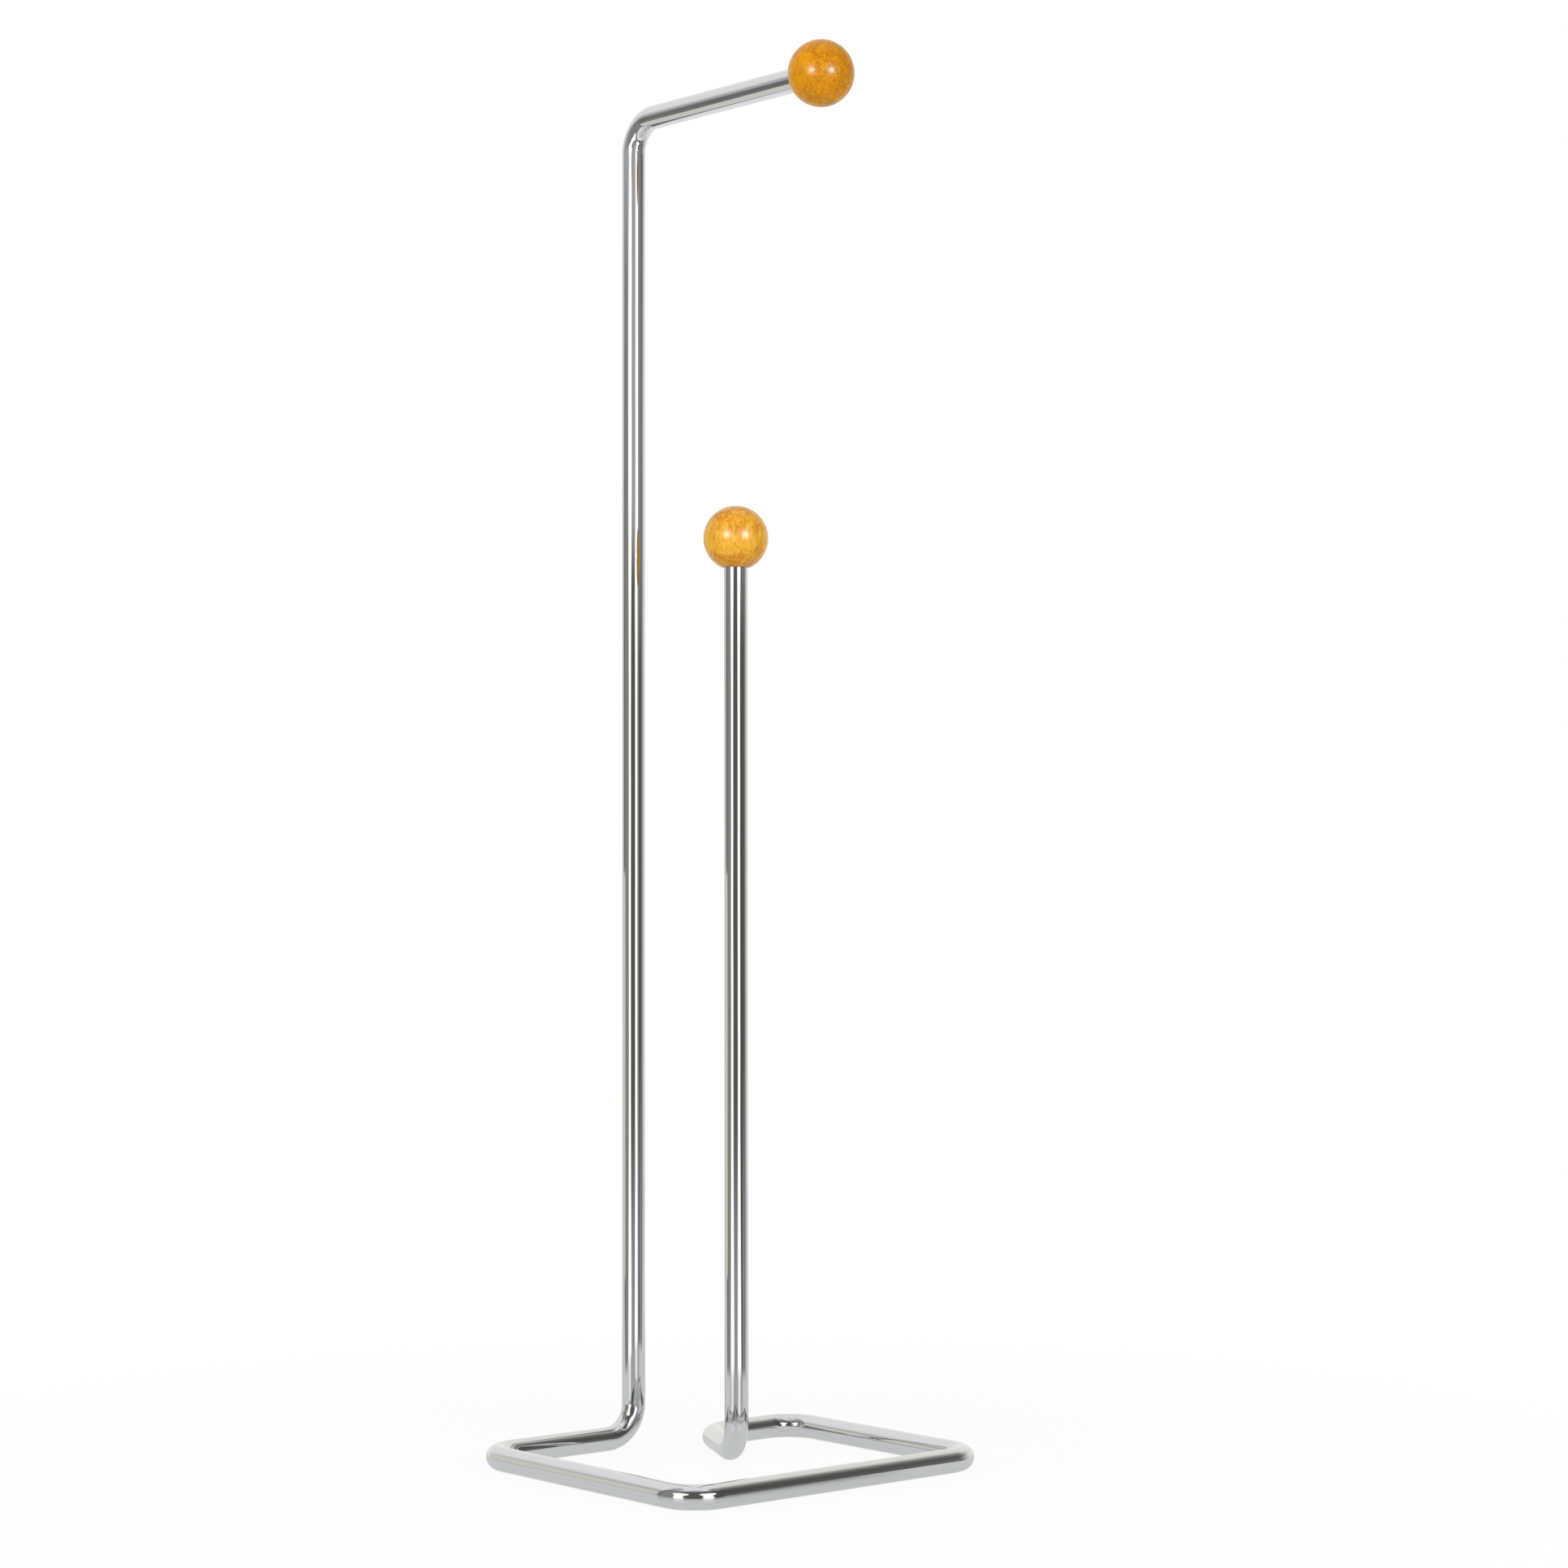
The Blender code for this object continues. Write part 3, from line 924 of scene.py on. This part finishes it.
def lacquered_wood(name, centre, turned, streak, pale, middle, deep, fleck, pore, coat_ior, coat_roughness):
    """Turned hardwood, stained and gloss lacquered. The stain is deeper in patches and in the end grain, and
    the deepening towards both ends of the grain is also painted shade, which darkens the upright ball's top
    and bottom and the arm ball's outer end.
    The fibres show as fine specks end-on and as short streaks from the side. The lacquer pulls down slightly
    over the fibres, which breaks up the lamps' reflections, and it pales the ball's rim."""
    material, tree = new_material(name)
    # Along the grain is Z here, and the ball's centre is the origin
    own = add_node(tree, "ShaderNodeTexCoord").outputs["Object"]
    place = add_node(
        tree,
        "ShaderNodeMapping",
        {"vector_type": "TEXTURE"},
        {"Vector": own, "Location": centre, "Rotation": turned},
    ).outputs[0]
    grain = []
    for count, roughness in ((FIBRES_PER_METRE, 0.6), (BUNDLES_PER_METRE, 0.5)):
        stretched = add_node(
            tree, "ShaderNodeMapping", inputs={"Vector": place, "Scale": (count, count, count / streak)}
        ).outputs[0]
        noise = add_node(
            tree,
            "ShaderNodeTexNoise",
            inputs={"Vector": stretched, "Scale": 1.0, "Detail": 2.0, "Roughness": roughness},
        )
        grain.append(noise.outputs["Fac"])
    fibres, bundles = grain
    patches = add_node(
        tree,
        "ShaderNodeTexNoise",
        inputs={"Vector": place, "Scale": PATCHES_PER_METRE, "Detail": 1.0, "Roughness": 0.5},
    ).outputs["Fac"]
    along_grain = add_node(tree, "ShaderNodeSeparateXYZ", inputs={0: place}).outputs["Z"]
    from_middle = add_node(tree, "ShaderNodeMath", ABSOLUTE, {0: along_grain}).outputs[0]
    # Painted shade together with end-grain stain: the colour deepens towards both ends of the grain
    end_stain_and_shade = add_node(
        tree,
        "ShaderNodeMapRange",
        SMOOTH_STEP,
        {
            "Value": from_middle,
            "From Min": END_GRAIN_FROM * BALL_RADIUS,
            "From Max": END_GRAIN_TO * BALL_RADIUS,
            "To Max": END_GRAIN_STAIN_AND_SHADE,
        },
    ).outputs[0]
    stain_and_shade = add_node(tree, "ShaderNodeMath", ADD, {0: patches, 1: end_stain_and_shade}).outputs[0]
    colour = linear(middle)
    # The deep colour carries both the stain patches and the painted shade at the grain's ends
    for pattern, (start, most, share), over in (
        (stain_and_shade, STAIN_AND_SHADE_SHOWS, deep),
        (bundles, BUNDLE_SHOWS, pale),
        (fibres, FLECK_SHOWS, fleck),
        (fibres, PORE_SHOWS, pore),
    ):
        shows = add_node(
            tree,
            "ShaderNodeMapRange",
            inputs={"Value": pattern, "From Min": start, "From Max": most, "To Max": share},
        ).outputs[0]
        colour = add_node(
            tree, "ShaderNodeMix", COLOUR_MIX, {"Factor": shows, "A": colour, "B": linear(over)}
        ).outputs["Result"]
    sunk = add_node(
        tree, "ShaderNodeBump", inputs={"Height": fibres, "Strength": 1.0, "Distance": FIBRE_DEPTH}
    ).outputs[0]
    rolled = add_node(
        tree,
        "ShaderNodeBump",
        inputs={"Height": bundles, "Strength": 1.0, "Distance": BUNDLE_DEPTH, "Normal": sunk},
    ).outputs[0]
    # Lacquer looks smoother at a glancing angle
    glancing = add_node(tree, "ShaderNodeLayerWeight", inputs={"Blend": 0.5}).outputs["Facing"]
    gloss = add_node(
        tree,
        "ShaderNodeMapRange",
        SMOOTH_STEP,
        {
            "Value": glancing,
            "From Min": GLANCING_FROM,
            "From Max": GLANCING_TO,
            "To Min": coat_roughness,
            "To Max": GLANCING_ROUGHNESS,
        },
    ).outputs[0]
    shader = add_node(
        tree,
        "ShaderNodeBsdfPrincipled",
        inputs={
            "Base Color": colour,
            "Roughness": WOOD_ROUGHNESS,
            "Specular IOR Level": 0.0,
            "Normal": sunk,
            "Coat Weight": 1.0,
            "Coat Roughness": gloss,
            "Coat IOR": coat_ior,
            "Coat Normal": rolled,
        },
    )
    add_node(tree, "ShaderNodeOutputMaterial", inputs={"Surface": shader.outputs[0]})
    return material


def ball_centre(node):
    """The ball's centre, from its box. The bore's side is cut flat, so the far side gives the place."""
    low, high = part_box(node)
    middle = (low + high) / 2
    if node == "arm_ball":
        return Vector((high.x - BALL_RADIUS, middle.y, middle.z))
    return Vector((middle.x, middle.y, high.z - BALL_RADIUS))


def build_ball(name, node, finish, turned):
    """Turn half the ball's section round its axis, with the bore's mouth facing -Z, then set it in place."""
    seat_radius = BORE_RADIUS + BORE_MOUTH_CHAMFER + SEAT_RIM
    seat_z = -math.sqrt(BALL_RADIUS**2 - seat_radius**2)
    bore_bottom = BALL_RADIUS - BALL_END_WALL
    sweep = math.pi - math.asin(seat_radius / BALL_RADIUS)
    steps = [sweep * step / BALL_STEPS for step in range(BALL_STEPS + 1)]
    section = [(BALL_RADIUS * math.sin(angle), BALL_RADIUS * math.cos(angle)) for angle in steps]
    section += [
        (BORE_RADIUS + BORE_MOUTH_CHAMFER, seat_z),
        (BORE_RADIUS, seat_z + BORE_MOUTH_CHAMFER),
        (BORE_RADIUS, bore_bottom),
        (0, bore_bottom),
    ]
    ball = bmesh.new()
    verts = [ball.verts.new((distance, 0, height)) for distance, height in section]
    edges = [ball.edges.new(pair) for pair in zip(verts, verts[1:])]
    bmesh.ops.spin(ball, geom=verts + edges, axis=UP, angle=math.tau, steps=BALL_SIDES, use_duplicate=False)
    bmesh.ops.remove_doubles(ball, verts=ball.verts, dist=MERGE_DISTANCE)
    bmesh.ops.recalc_face_normals(ball, faces=ball.faces)
    ball.transform(Matrix.Translation(ball_centre(node)) @ turned.to_matrix().to_4x4())
    mesh = bpy.data.meshes.new(name)
    ball.to_mesh(mesh)
    ball.free()
    mesh.shade_smooth()
    mesh.set_sharp_from_angle(angle=math.radians(CREASE_ANGLE))
    mesh.materials.append(finish)
    piece = add_object(name, mesh)
    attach(piece, "root")
    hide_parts(node)
    return piece


def build_balls():
    """Both balls are turned from the same dowel stock, with the grain along the bore."""
    along_arm = Euler((0, math.pi / 2, 0))
    upright = Euler((0, 0, 0))
    amber = lacquered_wood(
        "amber_stained_hardwood_end_grain",
        ball_centre("arm_ball"),
        along_arm,
        streak=1.3,
        pale="E8A00A",
        middle="DF9402",
        deep="C27800",
        fleck="F4B01C",
        pore="BC7404",
        coat_ior=1.28,
        coat_roughness=0.28,
    )
    arm_ball = build_ball("turned_arm_ball", "arm_ball", amber, along_arm)
    honey = lacquered_wood(
        "honey_stained_hardwood_side_grain",
        ball_centre("spare_ball"),
        upright,
        streak=5,
        pale="F6BE40",
        middle="F0AE24",
        deep="D68300",
        fleck="FCD45C",
        pore="D48A10",
        coat_ior=1.38,
        coat_roughness=0.33,
    )
    spare_ball = build_ball("turned_spare_ball", "spare_ball", honey, upright)
    return arm_ball, spare_ball


bpy.context.scene.view_settings.view_transform = "Standard"
place_camera()
build_world()
place_softbox("left_softbox", -40, SOFTBOX_WATTS)
place_softbox("right_softbox", 32, SOFTBOX_WATTS)
place_softbox("back_softbox", 180, BACK_SOFTBOX_WATTS)
floor = build_floor()
build_walls()
build_board()
build_card(
    "front_card",
    "grey_card",
    degrees=-3,
    distance=0.33,
    width=0.27,
    bottom=0.40,
    top=0.665,
    level=GLOW_LEVEL,
    edge=0.04,
)
build_card(
    "left_card",
    "pale_card",
    degrees=-76,
    distance=0.40,
    width=0.42,
    bottom=0.56,
    top=1.3,
    level=0.55,
    edge=0.08,
)
build_card(
    "right_card",
    "dim_card",
    degrees=68,
    distance=0.36,
    width=0.30,
    bottom=0.36,
    top=1.0,
    level=0.30,
    edge=0.06,
)
build_card(
    "low_right_card",
    "low_dim_card",
    degrees=74,
    distance=1.0,
    width=0.55,
    bottom=-0.7,
    top=0.12,
    level=0.35,
    edge=0.14,
)
bent_bar = build_bar()
balls = build_balls()
build_panel("left_panel", -36, bent_bar, floor)
build_panel("right_panel", 28, bent_bar, floor)
place_highlight("left_highlight", -31, *balls)
place_highlight("right_highlight", 34, *balls)
